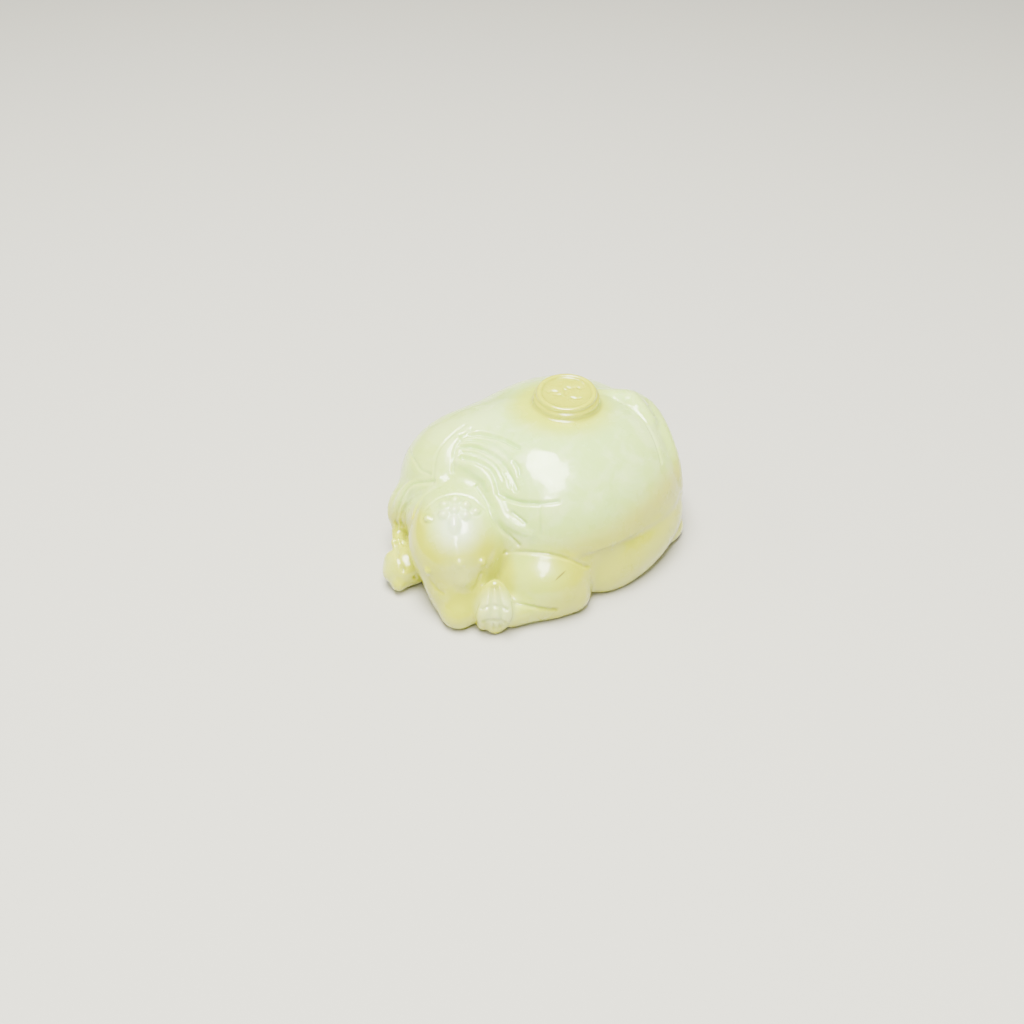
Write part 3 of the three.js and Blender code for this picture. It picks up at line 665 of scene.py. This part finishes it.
def linear(hexColour):
    parts = [int(hexColour[i:i + 2], 16) / 255 for i in (1, 3, 5)]
    return (*[c / 12.92 if c <= 0.04045 else ((c + 0.055) / 1.055) ** 2.4 for c in parts], 1.0)


jade = {
    "milky": "#C8E781", "mist": "#D6EF9E", "lime": "#CBD924", "olive": "#C3C800",
    "white": "#E2F3C6", "fleck": "#5E4A2C",
    "cloud": 14, "drift": 6, "patch": 6, "misty": (0.42, 0.62),  # clouds in the stone
    "oliveTop": 16.4, "oliveFade": 5, "tailRise": 0.12,
    # the white trace at the nose is a painted highlight; the white on the paws is the stone's own
    "pawWhite": 0.45, "nosePaintedHighlight": 0.16, "armMilky": 0.5, "edgeLime": 0.38,
    # how far each area is full and where it has gone, from its middle
    # the olive on the far cheek is painted shade below the edge of the muzzle
    "coinOlive": (5.2, 7.0), "muzzleOlive": (8.0, 12.5), "cheekPaintedShade": (4.5, 8.5),
    "coinLime": (6.0, 11.5), "shellTop": (7, 26), "armReach": (2.5, 9.0),
    # the white on the crown and the bridge of the nose is a painted highlight; the white spots on
    # the paws are the stone's own
    "crownPaintedHighlight": (0.5, 5.5), "spotWhiteAndHighlight": (1.5, 4.5),
    "fleckAt": (17.0, -5.6), "fleckSlant": 42, "fleckSize": (2.6, 0.28),
    "fleckEdge": (0.2, 1.3), "fleckStrength": 0.75,
    "ior": 1.61, "within": 0.9, "depth": 1.7, "spread": (0.9, 1.0, 0.6),  # light in the stone
    "skin": 5, "skinRange": (0.38, 0.62), "rough": (0.15, 0.32),
    "wave": 6, "waveStrength": 0.6, "waveHeight": 0.5,
    "coat": 0.7, "coatRough": 0.07, "coatIor": 1.5,
}


# Nephrite with a greenish white body that turns olive yellow low down and round the coin, lit
# from within; a wax polish over it gives the small sharp glints.
def jadeMaterial():
    material = bpy.data.materials.new("polished nephrite jade")
    material.use_nodes = True
    tree = material.node_tree
    shader = tree.nodes["Principled BSDF"]
    where = addNode(tree, "ShaderNodeTexCoord").outputs["Object"]

    # share of an area: 1 near its middle, 0 beyond its reach
    def close(centre, reach, squash=(1, 1, 1)):
        centred = addNode(tree, "ShaderNodeVectorMath", {"operation": "SUBTRACT"}, i0=where,
                          i1=tuple((vec(*centre) + shift) * mm))
        squashed = addNode(tree, "ShaderNodeVectorMath", {"operation": "MULTIPLY"},
                           i0=centred.outputs[0], i1=squash)
        length = addNode(tree, "ShaderNodeVectorMath", {"operation": "LENGTH"},
                         i0=squashed.outputs[0])
        ranged = addNode(tree, "ShaderNodeMapRange", {"interpolation_type": "SMOOTHSTEP"},
                         i0=length.outputs["Value"], i1=reach[0] * mm, i2=reach[1] * mm,
                         i3=1.0, i4=0.0)
        return ranged.outputs[0]

    # the olive: everything low, the muzzle and a halo round the coin, with a cloudy border, and a
    # patch on the far cheek that is painted shade
    clouds = addNode(tree, "ShaderNodeTexNoise", Vector=where, Scale=1 / (jade["cloud"] * mm),
                     Detail=3.0, Roughness=0.5)
    drift = addNode(tree, "ShaderNodeMath", {"operation": "MULTIPLY_ADD"},
                    i0=clouds.outputs["Fac"], i1=jade["drift"] * mm,
                    i2=-jade["drift"] / 2 * mm)
    # the border lies a little higher at the tail end
    height = addNode(tree, "ShaderNodeVectorMath", {"operation": "DOT_PRODUCT"}, i0=where,
                     i1=(0.0, -jade["tailRise"], 1.0))
    border = addNode(tree, "ShaderNodeMath", {"operation": "ADD"}, i0=height.outputs["Value"],
                     i1=drift.outputs[0])
    lowDown = addNode(tree, "ShaderNodeMapRange", {"interpolation_type": "SMOOTHSTEP"},
                      i0=border.outputs[0], i1=(jade["oliveTop"] - jade["oliveFade"]) * mm,
                      i2=jade["oliveTop"] * mm, i3=1.0, i4=0.0)
    middle = vec(*head["middle"])
    # the near arm keeps a milky middle
    armLoss = addNode(tree, "ShaderNodeMath", {"operation": "MULTIPLY_ADD"},
                      i0=close(place(0.66, -1.0, 0.3), jade["armReach"]),
                      i1=-jade["armMilky"], i2=1.0)
    olive = addNode(tree, "ShaderNodeMath", {"operation": "MULTIPLY"}, i0=lowDown.outputs[0],
                    i1=armLoss.outputs[0]).outputs[0]
    for spot, reach in ((coinMiddle - vec(0, 0, 0.8), jade["coinOlive"]),
                        (middle + outward * 6 - vec(0, 0, 4), jade["muzzleOlive"]),
                        # painted shade on the far cheek
                        (middle - sheetRight * 7.5 + outward * 2, jade["cheekPaintedShade"])):
        olive = addNode(tree, "ShaderNodeMath", {"operation": "MAXIMUM"}, i0=olive,
                        i1=close(spot, reach)).outputs[0]
    # a greener halo in the shell round the coin, and a trace of it towards the shell's edges
    edges = addNode(tree, "ShaderNodeMath", {"operation": "MULTIPLY_ADD"},
                    i0=close(place(0.25, -0.2, 0.9), jade["shellTop"]),
                    i1=-jade["edgeLime"], i2=jade["edgeLime"])
    halo = close(coinMiddle - vec(0, 0, 1.5) - sheetRight, jade["coinLime"])
    lime = addNode(tree, "ShaderNodeMath", {"operation": "MAXIMUM"}, i0=edges.outputs[0],
                   i1=halo).outputs[0]
    # the white: a painted highlight on the crown and the bridge of the nose where they face the
    # light from above, the stone's own whitish tone on the two paws, and a trace of painted
    # highlight at the nose
    paleAndPaintedHighlight = close(middle + toViewer * 7 + sheetUp * 2, jade["crownPaintedHighlight"], (1, 1, 0.7))
    for spot, most in ((place(0.63, -1.27, 0.2), jade["pawWhite"]),
                       (place(-0.4, -1.42, 0.1), jade["pawWhite"]),
                       (onStone(headDistance, [(1.0, -4.5)])[0], jade["nosePaintedHighlight"])):
        paleSpotAndPaintedHighlight = addNode(tree, "ShaderNodeMath", {"operation": "MULTIPLY"},
                        i0=close(spot, jade["spotWhiteAndHighlight"]), i1=most)
        paleAndPaintedHighlight = addNode(tree, "ShaderNodeMath", {"operation": "MAXIMUM"}, i0=paleAndPaintedHighlight,
                       i1=paleSpotAndPaintedHighlight.outputs[0]).outputs[0]
    # a thin brown fleck in the near arm
    fleckMiddle = tuple((onStone(stoneDistance, [jade["fleckAt"]])[0] + shift) * mm)
    fromFleck = addNode(tree, "ShaderNodeVectorMath", {"operation": "SUBTRACT"}, i0=where,
                        i1=fleckMiddle)
    slant = math.radians(jade["fleckSlant"])
    lengthways = sheetRight * math.cos(slant) + sheetUp * math.sin(slant)
    crossways = sheetUp * math.cos(slant) - sheetRight * math.sin(slant)
    squares = []
    for way, size in zip((lengthways, crossways), jade["fleckSize"]):
        share = addNode(tree, "ShaderNodeVectorMath", {"operation": "DOT_PRODUCT"},
                        i0=fromFleck.outputs[0], i1=tuple(way * 2 / (size * mm)))
        squares.append(addNode(tree, "ShaderNodeMath", {"operation": "POWER"},
                               i0=share.outputs["Value"], i1=2.0).outputs[0])
    fleckReach = addNode(tree, "ShaderNodeMath", {"operation": "ADD"}, i0=squares[0],
                         i1=squares[1])
    fleck = addNode(tree, "ShaderNodeMapRange", {"interpolation_type": "SMOOTHSTEP"},
                    i0=fleckReach.outputs[0], i1=jade["fleckEdge"][0],
                    i2=jade["fleckEdge"][1], i3=jade["fleckStrength"], i4=0.0)
    # fainter clouds within the milky body
    patches = addNode(tree, "ShaderNodeTexNoise", Vector=where, Scale=1 / (jade["patch"] * mm),
                      Detail=5.0, Roughness=0.6, Distortion=0.6)
    misty = addNode(tree, "ShaderNodeMapRange", {"interpolation_type": "SMOOTHSTEP"},
                    i0=patches.outputs["Fac"], i1=jade["misty"][0], i2=jade["misty"][1],
                    i3=0.0, i4=1.0)
    colour = linear(jade["milky"])
    # the olive layer also carries the painted shade on the far cheek
    for share, over in ((misty.outputs[0], "mist"), (lime, "lime"), (olive, "olive"),
                        # the white layer carries the painted highlight on the crown, the bridge of
                        # the nose and the nose, and the stone's own white on the paws
                        (paleAndPaintedHighlight, "white"), (fleck.outputs[0], "fleck")):
        colour = addNode(tree, "ShaderNodeMix", {"data_type": "RGBA"}, i0=share, i6=colour,
                         i7=linear(jade[over])).outputs[2]
    tree.links.new(colour, shader.inputs["Base Color"])

    # under the polish the stone is silkier in some places than in others
    skin = addNode(tree, "ShaderNodeTexNoise", Vector=where, Scale=1 / (jade["skin"] * mm),
                   Detail=4.0)
    rough = addNode(tree, "ShaderNodeMapRange", i0=skin.outputs["Fac"],
                    i1=jade["skinRange"][0], i2=jade["skinRange"][1],
                    i3=jade["rough"][0], i4=jade["rough"][1])
    tree.links.new(rough.outputs[0], shader.inputs["Roughness"])
    # the hand polish leaves the surface slightly wavy, which frays the edge of the highlight
    waves = addNode(tree, "ShaderNodeTexNoise", Vector=where, Scale=1 / (jade["wave"] * mm),
                    Detail=2.0)
    polish = addNode(tree, "ShaderNodeBump", Strength=jade["waveStrength"],
                     Distance=jade["waveHeight"] * mm, Height=waves.outputs["Fac"])
    tree.links.new(polish.outputs[0], shader.inputs["Normal"])
    tree.links.new(polish.outputs[0], shader.inputs["Coat Normal"])
    shader.inputs["IOR"].default_value = jade["ior"]
    shader.inputs["Subsurface Weight"].default_value = jade["within"]
    shader.inputs["Subsurface Radius"].default_value = jade["spread"]
    shader.inputs["Subsurface Scale"].default_value = jade["depth"] * mm
    shader.inputs["Coat Weight"].default_value = jade["coat"]
    shader.inputs["Coat Roughness"].default_value = jade["coatRough"]
    shader.inputs["Coat IOR"].default_value = jade["coatIor"]
    return material


stone = jadeMaterial()
print("made", stone.name)


# the turtle itself

turtle = meshOf("turtle_carving", (points + shift) * mm, quads)
turtle.data.materials.append(stone)
tree = engravingTree()
sockets = {item.name: item.identifier for item in tree.interface.items_tree
           if item.in_out == "INPUT"}
guides = []
for name, paths in lines.items():
    guide = lineObject("guide_" + name, paths)
    guides.append(guide)
    modifier = turtle.modifiers.new("engraving " + name, "NODES")
    modifier.node_group = tree
    modifier[sockets["Lines"]] = guide
    modifier[sockets["Stone"]] = stone
    for key, size in engraving[name].items():
        modifier[sockets[key]] = size * mm
thinning = turtle.modifiers.new("thinning", "DECIMATE")
thinning.ratio = min(1.0, sculpt["triangles"] / (2 * len(quads)))

bpy.context.view_layer.update()
graph = bpy.context.evaluated_depsgraph_get()
finished = bpy.data.meshes.new_from_object(turtle.evaluated_get(graph))
turtle.modifiers.clear()
turtle.data = finished
for guide in guides:
    bpy.data.objects.remove(guide)
finished.shade_smooth()
print("turtle", len(finished.vertices), "points", len(finished.polygons), "faces")

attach(turtle, "root")
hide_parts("turtle")


# floor, light and camera

studio = {
    "floor": "#BFBDB5", "floorSize": 3.2, "floorRough": 0.8, "light": "#FFFEF4", "sky": 0.26,
    "aim": (-0.3, -4.49, 8.2), "distance": 213, "angle": 45,
    # place and size in metres, watts, turn in degrees, and whether the polish mirrors it
    "softboxes": {
        "overhead": ((0.03, -0.08, 0.55), (0.28, 0.5), 14.5, 45, True),
        "front": ((0.2, -0.26, 0.42), (0.1, 0.1), 1.2, 0, True),
        "left": ((-0.45, -0.4, 0.4), (0.35, 0.35), 1.6, 0, False),
        "right": ((0.5, -0.2, 0.28), (0.35, 0.3), 0.8, 0, False),
    },
}


def floorPlane():
    size = studio["floorSize"] / 2
    mesh = bpy.data.meshes.new("floor")
    mesh.from_pydata([(x * size, y * size, 0) for x, y in ((-1, -1), (1, -1), (1, 1), (-1, 1))],
                     [], [(0, 1, 2, 3)])
    floor = bpy.data.objects.new("floor", mesh)
    material = bpy.data.materials.new("matt studio paper")  # plain and pale, with no shine
    material.use_nodes = True
    shader = material.node_tree.nodes["Principled BSDF"]
    shader.inputs["Base Color"].default_value = linear(studio["floor"])
    shader.inputs["Roughness"].default_value = studio["floorRough"]
    mesh.materials.append(material)
    bpy.context.scene.collection.objects.link(floor)


def softbox(name, spot, size, watts, roll, mirrored):
    light = bpy.data.lights.new(name, "AREA")
    light.shape = "ELLIPSE"
    light.size, light.size_y = size
    light.energy = watts
    light.color = linear(studio["light"])[:3]
    obj = bpy.data.objects.new(name, light)
    obj.location = spot
    obj.rotation_euler = (Vector((0, 0, 0.01)) - Vector(spot)).to_track_quat("-Z", "Y").to_euler()
    obj.rotation_euler.rotate_axis("Z", math.radians(roll))
    obj.visible_glossy = mirrored
    bpy.context.scene.collection.objects.link(obj)


# soft light from all round
def skyLight():
    world = bpy.data.worlds.new("studio")
    world.use_nodes = True
    background = world.node_tree.nodes["Background"]
    background.inputs["Color"].default_value = linear(studio["light"])
    background.inputs["Strength"].default_value = studio["sky"]
    bpy.context.scene.world = world


# the camera looks straight at the sheet that the carving is drawn on
def cameraAtPhoto():
    back = Vector(tuple(toViewer))
    aim = Vector(tuple((vec(*studio["aim"]) + shift) * mm))
    camera = bpy.data.cameras.new("camera")
    camera.lens_unit = "FOV"
    camera.angle = math.radians(studio["angle"])
    camera.clip_start = 0.01
    obj = bpy.data.objects.new("camera", camera)
    obj.location = aim + back * studio["distance"] * mm
    obj.rotation_euler = (-back).to_track_quat("-Z", "Y").to_euler()
    bpy.context.scene.collection.objects.link(obj)
    bpy.context.scene.camera = obj


floorPlane()
for name, settings in studio["softboxes"].items():
    softbox(name, *settings)
skyLight()
cameraAtPhoto()
print("camera and light ready")
